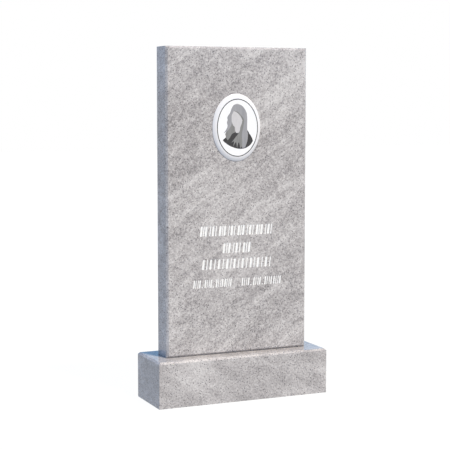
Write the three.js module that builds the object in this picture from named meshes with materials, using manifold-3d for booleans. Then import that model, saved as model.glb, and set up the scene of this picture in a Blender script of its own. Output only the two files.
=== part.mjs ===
// Upright headstone: a granite slab on a granite block, with an oval ceramic plaque and a cut inscription.
// Millimetres, +Z up, the front faces -Y, the origin is at the middle of the block's underside.

import * as THREE from 'three';
import { ConvexGeometry } from 'three/addons/geometries/ConvexGeometry.js';
import { mergeVertices } from 'three/addons/utils/BufferGeometryUtils.js';
import Module from 'manifold-3d';

const wasm = await Module();
wasm.setup();

// Driving sizes
const steleWidth = 500;
const steleHeight = 1000;
const steleThickness = 80;
const steleChamfer = 6.5;

const pedestalWidth = 600;
const pedestalDepth = 200;
const pedestalHeight = 150;
const pedestalChamfer = 6;

const bedJoint = 0.3; // between the block's top and the slab's foot
const glueLine = 0.3; // between the slab's face and the plaque's back

const plaqueWidth = 170;
const plaqueHeight = 218;
const plaqueEdge = 1; // upright edge that shows on the stone
const plaqueCrown = 7; // thickness of its flat middle
const plaqueRollWidth = 15; // from the flat middle out to the edge, measured across
const plaqueAcross = -5.5; // from the slab's centre line
const plaqueAbove = 241; // from the middle of the slab's height

// The inscription: rows of leaning chisel strokes, placed from the middle of the slab's face
const largeHeight = 34;
const largeStem = 7.5;
const largeHair = 3.8;
const largeSpace = 9; // between one mark and the next
const largeDepth = 2;
const smallHeight = 27;
const smallStem = 4.6;
const smallHair = 2.6;
const smallSpace = 5;
const smallDepth = 1.4;
const strokeLean = 0.12; // sideways travel for each millimetre of height
const strokeTip = 0.3; // length of a pointed end, in stroke widths
const stopShare = 0.17; // a stop's height, as a share of its row's
const cutClearance = 1; // how far a cutter stands out of the face

const largeRows = [
  { marks: 8, from: -135, to: 125, middle: -94 },
  { marks: 3, from: -55, to: 47, middle: -151.5 },
  { marks: 6, from: -128, to: 121, middle: -203 },
];
const smallRows = [
  { marks: 8, from: -159, to: -21, middle: -265.5 },
  { marks: 8, from: 13, to: 158, middle: -265.5 },
];

const largeStyle = {
  height: largeHeight,
  stop: largeStem,
  space: largeSpace,
  depth: largeDepth,
  patterns: [
    [largeStem, largeHair, largeStem],
    [largeHair, largeStem, largeHair],
  ],
  stopsAfter: [],
};
const smallStyle = {
  height: smallHeight,
  stop: smallStem,
  space: smallSpace,
  depth: smallDepth,
  patterns: [
    [smallStem, smallHair],
    [smallHair, smallStem],
  ],
  stopsAfter: [2, 4], // counted in marks from the row's left end
};

const granite = new THREE.MeshStandardMaterial({ color: 0xbbb7b7, roughness: 0.2, metalness: 0 });
const glazedCeramic = new THREE.MeshStandardMaterial({ color: 0xf6f7f9, roughness: 0.12, metalness: 0 });

// A block lies centred in X and Y from z = 0 up, and a chamfer runs round its upper face.
function chamferedBlock(width, depth, height, chamfer) {
  const corners = [];
  const levels = [
    [0, 0],
    [height - chamfer, 0],
    [height, chamfer],
  ];
  for (const [z, inset] of levels) {
    for (const x of [-width / 2 + inset, width / 2 - inset]) {
      for (const y of [-depth / 2 + inset, depth / 2 - inset]) {
        corners.push(new THREE.Vector3(x, y, z));
      }
    }
  }
  return new ConvexGeometry(corners);
}

function toSolid(geometry) {
  const bare = geometry.clone();
  bare.deleteAttribute('normal');
  bare.deleteAttribute('uv');
  const merged = mergeVertices(bare);
  return new wasm.Manifold(new wasm.Mesh({
    numProp: 3,
    vertProperties: Float32Array.from(merged.attributes.position.array),
    triVerts: Uint32Array.from(merged.index.array),
  }));
}

function toGeometry(solid) {
  const mesh = solid.getMesh();
  const geometry = new THREE.BufferGeometry();
  geometry.setAttribute('position', new THREE.BufferAttribute(mesh.vertProperties, 3));
  geometry.setIndex(new THREE.BufferAttribute(mesh.triVerts, 1));
  geometry.computeVertexNormals();
  return geometry;
}

// The strokes of one row, evenly spaced within each mark, each with its foot and head in the face's plane.
function rowStrokes(row, style) {
  const travel = strokeLean * style.height;
  const stopRoom = style.stop + style.space;
  const length = row.to - row.from - travel + style.space;
  const markRoom = (length - style.stopsAfter.length * stopRoom) / row.marks;
  const strokes = [];
  let left = row.from + travel / 2;
  const addStroke = (width, share) => {
    const centre = left + width / 2;
    const end = (part) => [centre + travel * (part - 0.5), row.middle + style.height * (part - 0.5)];
    strokes.push({ foot: end(0), head: end(share), width, depth: style.depth });
  };
  for (let mark = 1; mark <= row.marks; mark++) {
    const pattern = style.patterns[(mark - 1) % style.patterns.length];
    const filled = pattern.reduce((sum, width) => sum + width, 0);
    const gap = (markRoom - style.space - filled) / (pattern.length - 1);
    for (const width of pattern) {
      addStroke(width, 1);
      left += width + gap;
    }
    left += style.space - gap;
    if (style.stopsAfter.includes(mark)) {
      addStroke(style.stop, stopShare);
      left += stopRoom;
    }
  }
  return strokes;
}

// The stone that a chisel takes out for one stroke: straight above the face,
// and below it two slopes that meet in a ridge, with a point at each end.
function strokeCutter({ foot, head, width, depth }, face) {
  const half = width / 2;
  const tip = width * strokeTip;
  const low = [foot[0] + strokeLean * tip, foot[1] + tip];
  const high = [head[0] - strokeLean * tip, head[1] - tip];
  const outline = [
    foot,
    [low[0] + half, low[1]],
    [high[0] + half, high[1]],
    head,
    [high[0] - half, high[1]],
    [low[0] - half, low[1]],
  ];
  const corners = [
    ...outline.map((point) => new THREE.Vector3(...point, face + cutClearance)),
    ...outline.map((point) => new THREE.Vector3(...point, face)),
    new THREE.Vector3(...low, face - depth),
    new THREE.Vector3(...high, face - depth),
  ];
  return toSolid(new ConvexGeometry(corners));
}

// The slab lies on its back here: X across, Y up the stone from the middle of its height, Z out of its face.
function steleGeometry() {
  let stone = toSolid(chamferedBlock(steleWidth, steleHeight, steleThickness, steleChamfer));
  const strokes = [
    ...largeRows.flatMap((row) => rowStrokes(row, largeStyle)),
    ...smallRows.flatMap((row) => rowStrokes(row, smallStyle)),
  ];
  for (const stroke of strokes) {
    stone = stone.subtract(strokeCutter(stroke, steleThickness));
  }
  return toGeometry(stone);
}

// The plaque's section from its back to its crown, turned round and stretched to an oval.
// From the flat middle it rolls down to the edge as a parabola.
function plaqueGeometry() {
  const turns = 72;
  const rollSteps = 8;
  const rollShare = plaqueRollWidth / (plaqueWidth / 2);
  const section = [new THREE.Vector2(0, 0), new THREE.Vector2(1, 0)];
  for (let step = rollSteps; step >= 0; step--) {
    const fall = (plaqueCrown - plaqueEdge) * (step / rollSteps) ** 2;
    section.push(new THREE.Vector2(1 - rollShare * (1 - step / rollSteps), plaqueCrown - fall));
  }
  section.push(new THREE.Vector2(0, plaqueCrown));
  const geometry = new THREE.LatheGeometry(section, turns);
  geometry.rotateX(Math.PI / 2);
  geometry.scale(plaqueWidth / 2, plaqueHeight / 2, 1);
  return geometry;
}

const pedestal = new THREE.Mesh(
  chamferedBlock(pedestalWidth, pedestalDepth, pedestalHeight, pedestalChamfer), granite);
pedestal.name = 'pedestal';

const stele = new THREE.Mesh(steleGeometry(), granite);
stele.name = 'stele';

const plaque = new THREE.Mesh(plaqueGeometry(), glazedCeramic);
plaque.name = 'plaque';
plaque.position.set(plaqueAcross, plaqueAbove, steleThickness + glueLine);

// Stands the slab and what is on its face upright, with the slab centred on the block.
const upright = new THREE.Group();
upright.add(stele, plaque);
upright.rotation.x = Math.PI / 2;
upright.position.set(0, steleThickness / 2, pedestalHeight + bedJoint + steleHeight / 2);

const group = new THREE.Group();
group.add(pedestal, upright);

export default group;
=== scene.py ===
# Upright headstone: a polished granite slab on a granite block, with an oval porcelain plaque
# and rows of cut, painted strokes. Dictionaries are in millimetres and degrees unless they say otherwise.

import math

import bmesh
import bpy
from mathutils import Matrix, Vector
from mathutils.geometry import delaunay_2d_cdt


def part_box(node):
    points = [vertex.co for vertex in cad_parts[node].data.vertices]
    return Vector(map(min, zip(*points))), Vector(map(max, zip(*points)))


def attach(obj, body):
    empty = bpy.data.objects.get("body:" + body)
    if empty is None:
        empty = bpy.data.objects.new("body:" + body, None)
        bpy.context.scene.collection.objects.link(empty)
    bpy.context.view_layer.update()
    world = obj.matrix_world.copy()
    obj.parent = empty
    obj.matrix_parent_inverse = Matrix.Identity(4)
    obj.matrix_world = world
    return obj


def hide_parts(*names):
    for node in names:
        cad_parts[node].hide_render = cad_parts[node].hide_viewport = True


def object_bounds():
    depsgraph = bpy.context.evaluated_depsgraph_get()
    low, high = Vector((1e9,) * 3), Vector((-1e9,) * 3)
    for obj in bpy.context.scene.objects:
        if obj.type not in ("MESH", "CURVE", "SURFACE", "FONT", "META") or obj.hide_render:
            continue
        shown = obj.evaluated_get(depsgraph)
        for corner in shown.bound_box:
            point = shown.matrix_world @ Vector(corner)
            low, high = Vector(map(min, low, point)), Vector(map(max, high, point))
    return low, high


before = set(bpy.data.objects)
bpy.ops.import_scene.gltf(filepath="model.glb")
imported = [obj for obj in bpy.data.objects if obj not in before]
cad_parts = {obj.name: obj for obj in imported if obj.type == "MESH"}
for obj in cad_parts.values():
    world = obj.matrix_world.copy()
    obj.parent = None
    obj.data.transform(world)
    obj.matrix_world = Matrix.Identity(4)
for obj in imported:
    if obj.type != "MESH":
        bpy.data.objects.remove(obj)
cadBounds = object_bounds()

mm = 0.001
body = "root"
mixA, mixB, mixResult = 6, 7, 2  # a mix node's colour sockets


def linearFromHex(text):
    levels = [int(text[i:i + 2], 16) / 255 for i in (1, 3, 5)]
    linear = [v / 12.92 if v <= 0.04045 else ((v + 0.055) / 1.055) ** 2.4 for v in levels]
    return (*linear, 1.0)


def perMetre(size):
    return 1000 / size  # a texture's scale, from the size of one feature


def addNode(tree, kind, inputs, **settings):
    node = tree.nodes.new(kind)
    for name, value in settings.items():
        setattr(node, name, value)
    for socket, value in inputs.items():
        if isinstance(value, bpy.types.NodeSocket):
            tree.links.new(value, node.inputs[socket])
        else:
            node.inputs[socket].default_value = value
    return node


def setStops(ramp, stops):
    elements = ramp.color_ramp.elements
    while len(elements) < len(stops):
        elements.new(1.0)
    for element, (position, colour) in zip(elements, stops):
        element.position = position
        element.color = linearFromHex(colour) if isinstance(colour, str) else colour


def emptyMaterial(name):
    material = bpy.data.materials.new(name)
    material.use_nodes = True
    material.node_tree.nodes.clear()
    return material


# Grey granite: quartz, feldspar and a little biotite, interlocked as grains of 1 to 3 mm.
# The eye gets an even light grey, salted with paler grains, in soft bands aslant through the block.
graniteGrain = {
    "crystal": 2.6,
    "crystalWarp": 1.4,  # how far the grains' outlines wander
    "crystalWander": 3.38,  # and within what length
    "fleck": 6.8,  # spacing of the biotite flecks
    "fleckSize": 0.165,  # where a fleck starts to fade, as a share of that spacing
    "fleckEnd": 0.2475,  # and where it has gone
    "fleckColour": "#59575b",
    "crystalWeight": 0.47,
    "clouds": [  # along the bands, through the block, across the bands
        {"size": (6.2, 5.8, 5.4), "detail": 2.0, "weight": 1.45},
        {"size": (60, 36, 28), "detail": 3.0, "weight": 0.88},
        {"size": (360, 260, 95), "detail": 3.0, "weight": 0.78},
    ],
    # A pale, soft streak wherever a broad noise crosses a half
    "vein": {"size": (700, 420, 120), "detail": 2.0, "width": 0.06, "weight": 0.2},
    "ior": 1.54,
}

# Polished: wet-ground until the grains mirror the sky. Feldspar takes the finer polish.
polishedFinish = {
    "tones": [(0.0, "#888586"), (0.3, "#a39f9f"), (0.6, "#bab6b6"), (1.0, "#d2cfce")],
    "smoothest": 0.045,
    "roughest": 0.11,
    "relief": 0.012,
    "sawMark": None,
}

# Honed by hand, on the chamfers: duller than the faces, so it catches the key light and its grains sparkle.
honedFinish = {
    "tones": [(0.0, "#8b8889"), (0.3, "#a5a1a1"), (0.6, "#bbb7b7"), (1.0, "#d2cfce")],
    "smoothest": 0.12,
    "roughest": 0.3,
    "relief": 0.06,
    "sawMark": None,
}

# Diamond-sawn and left: paler, matt, with faint parallel marks of the blade.
sawnFinish = {
    "tones": [(0.0, "#9a9798"), (0.3, "#aca9a9"), (0.6, "#bcb9b8"), (1.0, "#d4d1d0")],
    "smoothest": 0.5,
    "roughest": 0.68,
    "relief": 0.12,
    "sawMark": {
        "spacing": 9.0,  # coarser than the real 1 to 3 mm, so that it shows
        "waver": 1.5,
        "weight": 2.0,  # how deep it is beside the grains' own relief
    },
}


def graniteMaterial(name, cut, finish):
    material = emptyMaterial(name)
    tree = material.node_tree
    grain = graniteGrain
    place = addNode(tree, "ShaderNodeTexCoord", {}).outputs["Object"]
    stone = addNode(tree, "ShaderNodeMapping", {
        "Vector": place, "Location": [step * mm for step in cut["offset"]]}).outputs[0]

    wander = addNode(tree, "ShaderNodeTexNoise", {
        "Vector": stone, "Scale": perMetre(grain["crystalWander"]), "Detail": 2.0})
    bent = addNode(tree, "ShaderNodeVectorMath", {
        0: wander.outputs[1], 1: [grain["crystalWarp"] * mm] * 3, 2: stone},
        operation="MULTIPLY_ADD").outputs[0]
    crystals = addNode(tree, "ShaderNodeTexVoronoi", {"Vector": bent, "Scale": perMetre(grain["crystal"])})
    minerals = addNode(tree, "ShaderNodeSeparateColor", {0: crystals.outputs["Color"]})

    def cloud(layer):
        along = addNode(tree, "ShaderNodeMapping", {
            "Vector": stone, "Rotation": (0, math.radians(cut["bandSlope"]), 0),
            "Scale": [side * mm for side in layer["size"]]}, vector_type="TEXTURE").outputs[0]
        return addNode(tree, "ShaderNodeTexNoise", {
            "Vector": along, "Scale": 1.0, "Detail": layer["detail"]}).outputs[0]

    # Each part varies about 0.5, so the tone does too
    parts = [(minerals.outputs[0], grain["crystalWeight"])]
    parts += [(cloud(layer), layer["weight"]) for layer in grain["clouds"]]
    parts = [(part, weight * cut["contrast"]) for part, weight in parts]
    tone = 0.5 - 0.5 * sum(weight for part, weight in parts)
    for part, weight in parts:
        tone = addNode(tree, "ShaderNodeMath", {
            0: part, 1: weight, 2: tone}, operation="MULTIPLY_ADD").outputs[0]
    vein = grain["vein"]
    crossing = addNode(tree, "ShaderNodeMath", {0: cloud(vein), 1: 0.5}, operation="SUBTRACT").outputs[0]
    away = addNode(tree, "ShaderNodeMath", {0: crossing}, operation="ABSOLUTE").outputs[0]
    streak = addNode(tree, "ShaderNodeMapRange", {
        0: away, 1: 0.0, 2: vein["width"], 3: vein["weight"], 4: 0.0},
        interpolation_type="SMOOTHSTEP").outputs[0]
    tone = addNode(tree, "ShaderNodeMath", {0: tone, 1: streak}, operation="ADD").outputs[0]
    stoneColour = addNode(tree, "ShaderNodeValToRGB", {0: tone})
    setStops(stoneColour, finish["tones"])

    fleckCells = addNode(tree, "ShaderNodeTexVoronoi", {"Vector": bent, "Scale": perMetre(grain["fleck"])})
    fleck = addNode(tree, "ShaderNodeMapRange", {
        0: fleckCells.outputs["Distance"], 1: grain["fleckSize"], 2: grain["fleckEnd"], 3: 1.0, 4: 0.0})
    colour = addNode(tree, "ShaderNodeMix", {
        0: fleck.outputs[0], mixA: stoneColour.outputs[0], mixB: linearFromHex(grain["fleckColour"])},
        data_type="RGBA")

    polish = addNode(tree, "ShaderNodeMapRange", {
        0: minerals.outputs[1], 3: finish["smoothest"], 4: finish["roughest"]}).outputs[0]
    # The flecks and the softer grains wear a little lower
    depth = addNode(tree, "ShaderNodeMath", {
        0: minerals.outputs[2], 1: -1.0, 2: fleck.outputs[0]}, operation="MULTIPLY_ADD")
    sawMark = finish["sawMark"]
    if sawMark:
        waveLength = math.pi / 10  # a wave texture's own, in metres at a scale of 1
        marks = addNode(tree, "ShaderNodeTexWave", {
            "Vector": stone, "Scale": perMetre(sawMark["spacing"]) * waveLength,
            "Distortion": sawMark["waver"], "Detail": 2.0}, bands_direction="Z")
        depth = addNode(tree, "ShaderNodeMath", {
            0: marks.outputs["Fac"], 1: sawMark["weight"], 2: depth.outputs[0]}, operation="MULTIPLY_ADD")
    relief = addNode(tree, "ShaderNodeBump", {
        "Strength": 1.0, "Distance": finish["relief"] * mm, "Height": depth.outputs[0]}, invert=True)

    shader = addNode(tree, "ShaderNodeBsdfPrincipled", {
        "Base Color": colour.outputs[mixResult], "Roughness": polish, "IOR": grain["ior"],
        "Normal": relief.outputs[0]})
    addNode(tree, "ShaderNodeOutputMaterial", {0: shader.outputs[0]})
    return material


# White enamel sign paint, brushed into the cuts: bright, slightly creamy, with a soft low gloss.
def enamelMaterial(name):
    enamel = {
        "coats": [(0.35, "#eeeeec"), (0.6, "#f8f8f7")],  # from thin to full
        "patch": 14.0,
        "brush": 1.2,
        "relief": 0.02,
        "roughness": 0.35,
        "ior": 1.5,
    }
    material = emptyMaterial(name)
    tree = material.node_tree
    place = addNode(tree, "ShaderNodeTexCoord", {}).outputs["Object"]
    patches = addNode(tree, "ShaderNodeTexNoise", {
        "Vector": place, "Scale": perMetre(enamel["patch"]), "Detail": 3.0}).outputs[0]
    colour = addNode(tree, "ShaderNodeValToRGB", {0: patches})
    setStops(colour, enamel["coats"])
    brush = addNode(tree, "ShaderNodeTexNoise", {
        "Vector": place, "Scale": perMetre(enamel["brush"]), "Detail": 1.0}).outputs[0]
    relief = addNode(tree, "ShaderNodeBump", {
        "Strength": 1.0, "Distance": enamel["relief"] * mm, "Height": brush})
    shader = addNode(tree, "ShaderNodeBsdfPrincipled", {
        "Base Color": colour.outputs[0], "Roughness": enamel["roughness"], "IOR": enamel["ior"],
        "Normal": relief.outputs[0]})
    addNode(tree, "ShaderNodeOutputMaterial", {0: shader.outputs[0]})
    return material


# Porcelain with ceramic inks fired under a clear glaze: one unbroken mirror-like gloss over every colour,
# a faint unevenness where the glaze settled, and inks that vary a little as a print does.
def porcelainMaterial(name, ink):
    glaze = {"settle": 24.0, "relief": 0.06, "spread": 5.0, "roughness": 0.05, "ior": 1.52}
    material = emptyMaterial(name)
    tree = material.node_tree
    place = addNode(tree, "ShaderNodeTexCoord", {}).outputs["Object"]
    drawn = addNode(tree, "ShaderNodeMapping", {
        "Vector": place, "Scale": [glaze["spread"] * mm, glaze["spread"] * mm, ink["stroke"] * mm]},
        vector_type="TEXTURE").outputs[0]
    spread = addNode(tree, "ShaderNodeTexNoise", {
        "Vector": drawn, "Scale": 1.0, "Detail": 2.0, "Distortion": 0.4}).outputs[0]
    colour = addNode(tree, "ShaderNodeValToRGB", {0: spread})
    setStops(colour, [(0.3, ink["dense"]), (0.7, ink["thin"])])
    settle = addNode(tree, "ShaderNodeTexNoise", {
        "Vector": place, "Scale": perMetre(glaze["settle"]), "Detail": 1.0}).outputs[0]
    relief = addNode(tree, "ShaderNodeBump", {
        "Strength": 1.0, "Distance": glaze["relief"] * mm, "Height": settle})
    shader = addNode(tree, "ShaderNodeBsdfPrincipled", {
        "Base Color": colour.outputs[0], "Roughness": glaze["roughness"], "IOR": glaze["ior"],
        "Normal": relief.outputs[0]})
    addNode(tree, "ShaderNodeOutputMaterial", {0: shader.outputs[0]})
    return material


def middleAndSize(node):
    low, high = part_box(node)
    return (low + high) / 2, high - low


def addPiece(name, mesh, materials, node=None):
    for material in materials:
        mesh.materials.append(material)
    piece = bpy.data.objects.new(name, mesh)
    bpy.context.scene.collection.objects.link(piece)
    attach(piece, body)
    if node:
        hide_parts(node)
    return piece


def bezierMiddle(a, b, c):
    return tuple((p + 2 * q + r) / 4 for p, q, r in zip(a, b, c))


# A block's profile from its back to its face as (inset, level) corners, each eased to a small arris
def easedProfile(chamfer, thickness, margin, arris):
    corners = [
        (margin, 0),
        (0, 0),
        (0, thickness - chamfer),
        (chamfer, thickness),
        (chamfer + margin, thickness),
    ]
    profile = [corners[0]]
    for before, corner, after in zip(corners, corners[1:], corners[2:]):
        ends = []
        for other in (before, after):
            share = arris / math.dist(other, corner)
            ends.append(tuple(c + (o - c) * share for c, o in zip(corner, other)))
        profile += [ends[0], bezierMiddle(ends[0], corner, ends[1]), ends[1]]
    return profile + [corners[-1]]


def roundedRectangle(width, height, inset, radius):
    steps = 3
    ring = []
    for corner in range(4):
        across = math.cos(math.radians(45 + 90 * corner)) > 0
        upward = math.sin(math.radians(45 + 90 * corner)) > 0
        centreX = (width / 2 - inset - radius) * (1 if across else -1)
        centreY = (height / 2 - inset - radius) * (1 if upward else -1)
        for step in range(steps + 1):
            angle = math.radians(90 * corner + 90 * step / steps)
            ring.append((centreX + radius * math.cos(angle), centreY + radius * math.sin(angle)))
    return ring


# A stack of rounded rectangles; place(across, up, level) puts a point in the frame, in metres
def blockRings(form, width, height, profile, radius, place):
    rings = []
    for inset, level in profile:
        flat = roundedRectangle(width, height, inset, radius)
        rings.append([form.verts.new(place(x, y, level)) for x, y in flat])
    for lower, upper in zip(rings, rings[1:]):
        for i in range(len(lower)):
            j = (i + 1) % len(lower)
            form.faces.new((lower[i], lower[j], upper[j], upper[i]))
    form.faces.new(rings[0])
    return rings[-1]


def finishedMesh(name, form):
    weld = 0.005  # points nearer than this become one
    bmesh.ops.remove_doubles(form, verts=form.verts, dist=weld * mm)
    bmesh.ops.recalc_face_normals(form, faces=form.faces)
    mesh = bpy.data.meshes.new(name)
    form.to_mesh(mesh)
    form.free()
    return mesh


# Gives a block's faces their finish: sawn on the side named, honed where they slant, and polished elsewhere
def finishFaces(mesh, sawnSide):
    polished, sawn, honed = range(3)  # as in a cut's materials
    leastSawn = 0.9  # how much of a sawn face's normal lies along that side
    mostSlanting = 0.8  # the largest part that a slanting face's normal has
    for face in mesh.polygons:
        slants = max(abs(part) for part in face.normal) < mostSlanting
        if face.normal.dot(sawnSide) > leastSawn:
            face.material_index = sawn
        else:
            face.material_index = honed if slants else polished


print("stage: granite")

# How both blocks' edges are eased
stoneArris = {
    "arris": 0.5,  # round the face and round the back
    "corner": 1.0,  # radius of the four edges between them
    "margin": 5.0,  # width of the flat strip kept beside an arris
}
# Where each block lay in the quarry's bed, and how strongly its tone varies
steleCut = {"offset": (-2742, 2850, 745), "bandSlope": -33, "contrast": 1.0, "chamfer": 6.5}
pedestalCut = {"offset": (595, 304, 5), "bandSlope": 30, "contrast": 0.78, "chamfer": 6.0}
for cut, label in ((steleCut, "stele"), (pedestalCut, "pedestal")):
    cut["materials"] = [
        graniteMaterial("polished_grey_granite_" + label, cut, polishedFinish),
        graniteMaterial("sawn_grey_granite_" + label, cut, sawnFinish),
        graniteMaterial("honed_grey_granite_" + label, cut, honedFinish),
    ]

# The inscription's strokes, cut by chisel. A pattern is the widths of one mark's strokes
inscription = {
    "lean": 0.12,  # sideways travel for each millimetre of height
    "tip": 0.3,  # length of a pointed end, in stroke widths
    "stopShare": 0.17,  # a stop's height, as a share of its row's
    "styles": [
        {
            "height": 34, "space": 9, "depth": 2, "stop": 7.5, "stopsAfter": (),
            "patterns": ((7.5, 3.8, 7.5), (3.8, 7.5, 3.8)),
            "rows": ({"marks": 8, "start": -135, "end": 125, "middle": -94},
                     {"marks": 3, "start": -55, "end": 47, "middle": -151.5},
                     {"marks": 6, "start": -128, "end": 121, "middle": -203}),
        },
        {
            "height": 27, "space": 5, "depth": 1.4, "stop": 4.6, "stopsAfter": (2, 4),
            "patterns": ((4.6, 2.6), (2.6, 4.6)),
            "rows": ({"marks": 8, "start": -159, "end": -21, "middle": -265.5},
                     {"marks": 8, "start": 13, "end": 158, "middle": -265.5}),
        },
    ],
    "paintRecess": 0.05,  # from the polished face down to the paint's edge
    "paintEdge": 0.08,  # the film's thickness at its edge
    "paintPool": 0.5,  # how far the paint fills the cut, as a share of its depth
    "paintGap": 0.02,
}
ridgeOf = (0, 0, 1, 1, 1, 0)  # the end of the ridge, low or high, that each outline point slopes down to


def strokeShape(foot, head, width, depth):
    half = width / 2
    tip = width * inscription["tip"]
    low = (foot[0] + inscription["lean"] * tip, foot[1] + tip)
    high = (head[0] - inscription["lean"] * tip, head[1] - tip)
    outline = [
        foot,
        (low[0] + half, low[1]),
        (high[0] + half, high[1]),
        head,
        (high[0] - half, high[1]),
        (low[0] - half, low[1]),
    ]
    return {"outline": outline, "ridge": (low, high), "depth": depth}


def rowStrokes(row, style):
    travel = inscription["lean"] * style["height"]
    stopRoom = style["stop"] + style["space"]
    length = row["end"] - row["start"] - travel + style["space"]
    markRoom = (length - len(style["stopsAfter"]) * stopRoom) / row["marks"]
    left = row["start"] + travel / 2
    strokes = []

    def addStroke(width, share):
        centre = left + width / 2
        foot, head = [(centre + travel * (end - 0.5), row["middle"] + style["height"] * (end - 0.5))
                      for end in (0, share)]
        strokes.append(strokeShape(foot, head, width, style["depth"]))

    for mark in range(1, row["marks"] + 1):
        pattern = style["patterns"][(mark - 1) % len(style["patterns"])]
        gap = (markRoom - style["space"] - sum(pattern)) / (len(pattern) - 1)
        for width in pattern:
            addStroke(width, 1)
            left += width + gap
        left += style["space"] - gap
        if mark in style["stopsAfter"]:
            addStroke(style["stop"], inscription["stopShare"])
            left += stopRoom
    return strokes


allStrokes = [
    stroke
    for style in inscription["styles"]
    for row in style["rows"]
    for stroke in rowStrokes(row, style)
]


# Joins an outline's points to the two ends of its ridge, as the slopes of a V-shaped cut
def slopeFaces(form, outline, ridge):
    for i, point in enumerate(outline):
        j = (i + 1) % len(outline)
        here, there = ridgeOf[i], ridgeOf[j]
        if here == there:
            form.faces.new((point, outline[j], ridge[here]))
        else:
            form.faces.new((point, outline[j], ridge[there], ridge[here]))


# Fills a flat outline with triangles, and returns them with the layers that each lies in.
# The first layer is the outline itself.
def fillLayers(loops):
    points, layers = [], []
    for loop in loops:
        layers.append(list(range(len(points), len(points) + len(loop))))
        points += [Vector(point) for point in loop]
    insideOnly, nearness, withOwners = 1, 1e-7, True
    made = delaunay_2d_cdt(points, [], layers, insideOnly, nearness, withOwners)
    return made[0], made[2], made[5]


def buildStele():
    middle, size = middleAndSize("stele")
    back = middle.y + size.y / 2
    thickness = size.y / mm

    def place(x, z, level):
        return Vector((middle.x + x * mm, back - level * mm, middle.z + z * mm))

    form = bmesh.new()
    profile = easedProfile(steleCut["chamfer"], thickness, stoneArris["margin"], stoneArris["arris"])
    width, height = size.x / mm, size.z / mm
    blockRings(form, width, height, profile, stoneArris["corner"], place)
    faceOutline = roundedRectangle(width, height, profile[-1][0], stoneArris["corner"])
    points, faces, owners = fillLayers([faceOutline] + [stroke["outline"] for stroke in allStrokes])
    corners = [form.verts.new(place(*point, thickness)) for point in points]
    for face, owner in zip(faces, owners):
        if max(owner) == 0:
            form.faces.new([corners[i] for i in face])
    for stroke in allStrokes:
        outline = [form.verts.new(place(*point, thickness)) for point in stroke["outline"]]
        ridge = [form.verts.new(place(*point, thickness - stroke["depth"])) for point in stroke["ridge"]]
        slopeFaces(form, outline, ridge)
    mesh = finishedMesh("stele_stone", form)
    finishFaces(mesh, Vector((0, 1, 0)))
    addPiece("stele_stone", mesh, steleCut["materials"], "stele")


# The paint lies on the slopes as a thin closed film, so its edge stands a little in from the cut's
def buildPaint():
    middle, size = middleAndSize("stele")
    face = middle.y - size.y / 2
    film = bmesh.new()
    under = inscription["paintGap"]
    over = under + inscription["paintEdge"]
    for stroke in allStrokes:
        rims = []
        for lift, ridgeLift in ((under, under), (over, stroke["depth"] * inscription["paintPool"])):
            share = (inscription["paintRecess"] + lift) / stroke["depth"]
            rim, ridge = [], []
            for (x, z), end in zip(stroke["outline"], ridgeOf):
                ridgeX, ridgeZ = stroke["ridge"][end]
                flat = (x + (ridgeX - x) * share, z + (ridgeZ - z) * share)
                rim.append(film.verts.new((middle.x + flat[0] * mm, face + inscription["paintRecess"] * mm,
                                           middle.z + flat[1] * mm)))
            for x, z in stroke["ridge"]:
                ridge.append(film.verts.new((middle.x + x * mm, face + (stroke["depth"] - ridgeLift) * mm,
                                             middle.z + z * mm)))
            slopeFaces(film, rim, ridge)
            rims.append(rim)
        for i in range(len(ridgeOf)):
            j = (i + 1) % len(ridgeOf)
            film.faces.new((rims[0][i], rims[0][j], rims[1][j], rims[1][i]))
    mesh = finishedMesh("inscription_paint", film)
    addPiece("inscription_paint", mesh, [enamelMaterial("white_enamel_paint")])


def buildPedestal():
    middle, size = middleAndSize("pedestal")
    base = middle.z - size.z / 2

    def place(x, y, level):
        return Vector((middle.x + x * mm, middle.y + y * mm, base + level * mm))

    form = bmesh.new()
    profile = easedProfile(pedestalCut["chamfer"], size.z / mm, stoneArris["margin"], stoneArris["arris"])
    form.faces.new(blockRings(form, size.x / mm, size.y / mm, profile, stoneArris["corner"], place))
    mesh = finishedMesh("pedestal_stone", form)
    finishFaces(mesh, Vector((0, 0, -1)))
    addPiece("pedestal_stone", mesh, pedestalCut["materials"], "pedestal")


buildStele()
buildPaint()
buildPedestal()

print("stage: plaque")

plaque = {
    "edge": 1.0,
    "rollWidth": 15.0,  # from the flat middle out to the edge, measured across
    "rollSteps": 12,
    "arris": 0.4,
    "turns": 144,
    "lineWidth": 142.6,
    "lineHeight": 184.4,
    "lineWeight": 2.8,
    "lineMiddle": (1.0, -1.0),
}
inks = {
    "white_glaze": {"dense": "#f3f3f4", "thin": "#f7f7f8", "stroke": 60.0},
    "rim_glaze_and_painted_shade": {"dense": "#eae9eb", "thin": "#eeedef", "stroke": 60.0},  # greyer, partly as the glaze is thicker and partly as painted shade on the roll
    "line_ink": {"dense": "#2f2f31", "thin": "#3a3a3c", "stroke": 6.0},
    "garment_ink": {"dense": "#393839", "thin": "#424142", "stroke": 8.0},
    "shaded_hair_ink": {"dense": "#7f7f7e", "thin": "#8d8d8c", "stroke": 40.0},
    "face_ink": {"dense": "#c9c7c9", "thin": "#cfcdcf", "stroke": 12.0},
    "hair_ink": {"dense": "#97979b", "thin": "#a3a3a7", "stroke": 40.0},
}

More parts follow.
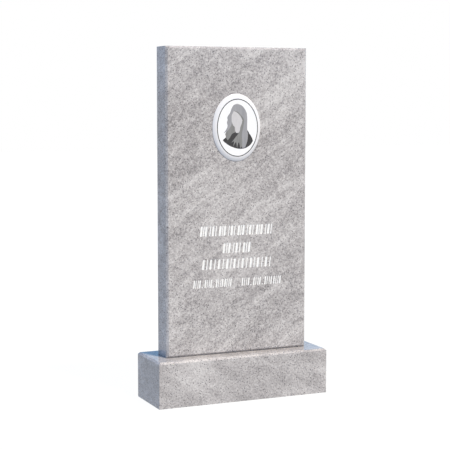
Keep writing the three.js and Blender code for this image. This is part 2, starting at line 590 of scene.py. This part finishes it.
# The bust's broad areas, drawn loosely round the plaque's middle. A point given twice is a sharp tip
bust = [
    ("garment_ink", [
        (-8, -10), (-24, -20), (-40, -31), (-52, -41), (-52, -41), (-38, -52.5), (-18, -63), (5, -69),
        (27, -67.5), (45, -58), (56, -44), (56, -44), (52, -33), (43, -20), (34, -8), (14, -6),
    ]),
    ("shaded_hair_ink", [
        (-24, 26), (-30, 8), (-34, -6), (-43, -20), (-43, -20), (-40, -32), (-34, -41), (-34, -41),
        (-27, -33), (-18, -20), (-7, -14), (-4, 6), (-12, 22),
    ]),
    ("shaded_hair_ink", [
        (4, 50), (15, 34), (14, 14), (9, 0), (8, -12), (0, -24), (-22, -50), (-22, -50), (-12, -45),
        (-15, -62), (-15, -62), (-5, -47), (-1, -66), (-1, -66), (5, -48), (11, -67), (11, -67),
        (22, -52), (28, -10), (28, 34), (16, 52),
    ]),
    ("face_ink", [
        (-6, 57), (-16, 51), (-20.5, 36), (-20, 20), (-15, 8), (-9, 1), (-8, -9), (-4, -17), (4, -17),
        (9, -10), (11, 2), (16, 14), (18, 30), (9, 47),
    ]),
    ("shaded_hair_ink", [
        (-13, 53.5), (-13, 53.5), (1, 46.5), (12, 35), (19, 21), (19, 21), (28, 26), (17, 44), (3, 55),
    ]),
    ("hair_ink", [
        (0, 76), (-13, 72), (-21, 60), (-26, 47), (-33, 38), (-35.5, 31), (-34.5, 24), (-37, 16),
        (-34.5, 7), (-37, -2), (-42, -10), (-48, -18), (-48, -18), (-36, -12), (-26, 0), (-20, 14),
        (-20, 38), (-12, 54), (-12, 54), (2, 50), (15, 38), (24, 24), (21, 2), (16, -22), (18, -44),
        (17, -66.5), (17, -66.5), (28, -65.5), (28, -65.5), (35, -46), (38, -24), (35, -4), (35, 30),
        (32, 50), (18, 69),
    ]),
]


# A closed curve through the points, with a corner wherever a point is given twice
def smoothLoop(points, steps=4):
    loop = []
    count = len(points)
    for i in range(count):
        before, here, there, after = (Vector(points[(i + k) % count]) for k in (-1, 0, 1, 2))
        if here == there:
            continue
        for step in range(steps):
            t = step / steps
            curve = (2 * here + (there - before) * t + (2 * before - 5 * here + 4 * there - after) * t ** 2
                     + (3 * here - before - 3 * there + after) * t ** 3) / 2
            loop.append(tuple(curve))
    return loop


def oval(halfWidth, halfHeight, middle=(0, 0)):
    turns = [2 * math.pi * i / plaque["turns"] for i in range(plaque["turns"])]
    return [
        (middle[0] + halfWidth * math.cos(turn), middle[1] + halfHeight * math.sin(turn)) for turn in turns
    ]


def buildPlaque():
    middle, size = middleAndSize("plaque")
    back = middle.y + size.y / 2
    halfWidth, halfHeight = size.x / mm / 2, size.z / mm / 2
    crown = size.y / mm
    rise = crown - plaque["edge"]
    rollShare = plaque["rollWidth"] / halfWidth
    rim = 1 - plaque["arris"] / halfWidth

    def place(x, z, level):
        return Vector((middle.x + x * mm, back - level * mm, middle.z + z * mm))

    def share(x, z):
        return math.hypot(x / halfWidth, z / halfHeight)

    # The face is flat, then rolls down to the edge as a parabola
    def rolled(x, z):
        return max(0, share(x, z) - 1 + rollShare) / rollShare

    def level(x, z):
        return crown - rise * rolled(x, z) ** 2

    def slope(x, z):
        steep = 2 * rise * rolled(x, z) / rollShare / max(share(x, z), 0.01)
        return Vector((steep * x / halfWidth ** 2, -1, steep * z / halfHeight ** 2)).normalized()

    line = [oval((plaque["lineWidth"] + side) / 2, (plaque["lineHeight"] + side) / 2, plaque["lineMiddle"])
            for side in (plaque["lineWeight"], -plaque["lineWeight"])]
    steps = [1 - rollShare * step / plaque["rollSteps"] for step in range(1, plaque["rollSteps"] + 1)]
    rings = [oval(halfWidth * step, halfHeight * step) for step in steps]
    # The roll, the edge and the back take the greyer rim glaze, which is partly painted shade
    layers = [("rim_glaze_and_painted_shade", oval(halfWidth * rim, halfHeight * rim))]
    layers += [("rim_glaze_and_painted_shade", ring) for ring in rings]
    layers += [("line_ink", line[0]), ("white_glaze", line[1])]
    layers += [(ink, smoothLoop(points)) for ink, points in bust]
    points, faces, owners = fillLayers([loop for ink, loop in layers])

    names = list(inks)
    vertices, polygons, materialOf, normals = [], [], [], []
    for x, z in points:
        vertices.append(place(x, z, level(x, z)))
    for face, owner in zip(faces, owners):
        polygons.append(face)
        materialOf.append(names.index(layers[max(owner)][0]))
        normals += [slope(*points[i]) for i in face]

    # The rim turns over a small arris to an upright edge, and the back is flat
    edgeRings = []
    for step, height in ((rim, None), (1, plaque["edge"] - plaque["arris"]), (1, 0)):
        ring = []
        for x, z in oval(halfWidth * step, halfHeight * step):
            outward = Vector((x / halfWidth ** 2, 0, z / halfHeight ** 2)).normalized()
            vertices.append(place(x, z, level(x, z) if height is None else height))
            ring.append((len(vertices) - 1, slope(x, z) if height is None else outward))
        edgeRings.append(ring)
    for upper, lower in zip(edgeRings, edgeRings[1:]):
        for i in range(plaque["turns"]):
            j = (i + 1) % plaque["turns"]
            corners = (upper[i], lower[i], lower[j], upper[j])
            polygons.append([index for index, normal in corners])
            normals += [normal for index, normal in corners]
            materialOf.append(names.index("rim_glaze_and_painted_shade"))
    polygons.append([index for index, normal in edgeRings[-1]])
    normals += [Vector((0, 1, 0))] * plaque["turns"]
    materialOf.append(names.index("rim_glaze_and_painted_shade"))

    mesh = bpy.data.meshes.new("plaque_ceramic")
    mesh.from_pydata(vertices, [], polygons)
    mesh.polygons.foreach_set("material_index", materialOf)
    mesh.polygons.foreach_set("use_smooth", [True] * len(polygons))
    mesh.normals_split_custom_set(normals)
    materials = [porcelainMaterial("glazed_porcelain_" + name, ink) for name, ink in inks.items()]
    addPiece("plaque_ceramic", mesh, materials, "plaque")


buildPlaque()

print("stage: studio")

# The camera's place and lens were solved from the edges in the photograph, as a square picture
view = {
    "place": (-1670.2, -3742.8, 974.8),
    "tilt": 84.35,
    "turn": -23.685,
    "lens": 99.784,
    "sensor": 36,
    "reach": 100000,  # how far the camera sees
}
# Colours of light are linear. A sun that isn't mirrored lights the stone, but leaves no glare in its polish.
studio = {
    "suns": {  # softness is in degrees across
        "key": {
            "toward": (0.216, -0.532, 0.819), "softness": 9.5, "strength": 3.85,
            "colour": (1.0, 0.892, 0.717), "mirrored": True},
        "side": {
            "toward": (-0.93, 0.1, 0.35), "softness": 60, "strength": 0.12,
            "colour": (0.3, 0.55, 1.0), "mirrored": False},
        "back": {
            "toward": (0.25, 0.96, 0.03), "softness": 45, "strength": 0.85,
            "colour": (1.0, 0.93, 0.82), "mirrored": False},
    },
    "fill": [  # from straight down, -1, to straight up, 1
        (-1.0, (0.62, 0.62, 0.62, 1.0)),
        (0.0, (0.62, 0.62, 0.62, 1.0)),
        (0.03, (0.75, 0.80, 0.90, 1.0)),
        (0.15, (0.25, 0.53, 0.85, 1.0)),
        (0.45, (0.25, 0.36, 0.62, 1.0)),
        (1.0, (0.20, 0.25, 0.42, 1.0)),
    ],
    "floorWidth": 40000,
    "floorGlow": 0.98,
    "floorColour": "#404040",
}


def buildCamera():
    camera = bpy.data.objects.new("camera", bpy.data.cameras.new("camera"))
    camera.data.lens = view["lens"]
    camera.data.sensor_width = view["sensor"]
    camera.data.clip_end = view["reach"] * mm
    camera.location = [value * mm for value in view["place"]]
    camera.rotation_euler = (math.radians(view["tilt"]), 0, math.radians(view["turn"]))
    bpy.context.scene.collection.objects.link(camera)
    bpy.context.scene.camera = camera


# A warm key from high on the right, a faint bluish light on the shaded side, and one behind for the back
def buildSuns():
    for name, sun in studio["suns"].items():
        light = bpy.data.lights.new(name, "SUN")
        light.angle = math.radians(sun["softness"])
        light.energy = sun["strength"]
        light.color = sun["colour"]
        lamp = bpy.data.objects.new(name, light)
        lamp.rotation_euler = Vector(sun["toward"]).to_track_quat("Z", "Y").to_euler()
        lamp.visible_glossy = sun["mirrored"]
        bpy.context.scene.collection.objects.link(lamp)


# The fill is a soft daylight from all round, pale at the horizon and bluer above, with the floor's light
# from below. Behind the stone, the camera sees plain white.
def buildFill():
    world = bpy.data.worlds.new("fill")
    world.use_nodes = True
    tree = world.node_tree
    tree.nodes.clear()
    direction = addNode(tree, "ShaderNodeTexCoord", {}).outputs["Generated"]
    toward = addNode(tree, "ShaderNodeSeparateXYZ", {0: direction})
    rise = addNode(tree, "ShaderNodeMapRange", {0: toward.outputs["Z"], 1: -1.0, 2: 1.0})
    daylight = addNode(tree, "ShaderNodeValToRGB", {0: rise.outputs[0]})
    setStops(daylight, [((height + 1) / 2, colour) for height, colour in studio["fill"]])
    ray = addNode(tree, "ShaderNodeLightPath", {})
    colour = addNode(tree, "ShaderNodeMix", {
        0: ray.outputs["Is Camera Ray"], mixA: daylight.outputs[0], mixB: (1.0, 1.0, 1.0, 1.0)},
        data_type="RGBA")
    background = addNode(tree, "ShaderNodeBackground", {0: colour.outputs[mixResult], 1: 1.0})
    addNode(tree, "ShaderNodeOutputWorld", {0: background.outputs[0]})
    bpy.context.scene.world = world


# A white floor that glows, so the stone's shadow on it stays faint. The fill already holds its light,
# so no light from the floor itself reaches the stone.
def buildFloor():
    material = emptyMaterial("white_floor")
    tree = material.node_tree
    shader = addNode(tree, "ShaderNodeBsdfPrincipled", {
        "Base Color": linearFromHex(studio["floorColour"]), "Roughness": 1.0, "Specular IOR Level": 0.0,
        "Emission Color": (1.0, 1.0, 1.0, 1.0), "Emission Strength": studio["floorGlow"]})
    addNode(tree, "ShaderNodeOutputMaterial", {0: shader.outputs[0]})
    half = studio["floorWidth"] * mm / 2
    level = cadBounds[0][2]
    corners = [(x, y, level) for x, y in ((-half, -half), (half, -half), (half, half), (-half, half))]
    mesh = bpy.data.meshes.new("floor")
    mesh.from_pydata(corners, [], [(0, 1, 2, 3)])
    mesh.materials.append(material)
    floor = bpy.data.objects.new("floor", mesh)
    floor.visible_diffuse = False
    floor.visible_glossy = False
    bpy.context.scene.collection.objects.link(floor)


buildCamera()
buildSuns()
buildFill()
buildFloor()
bpy.context.scene.view_settings.view_transform = "Standard"
bpy.context.scene.view_settings.look = "None"
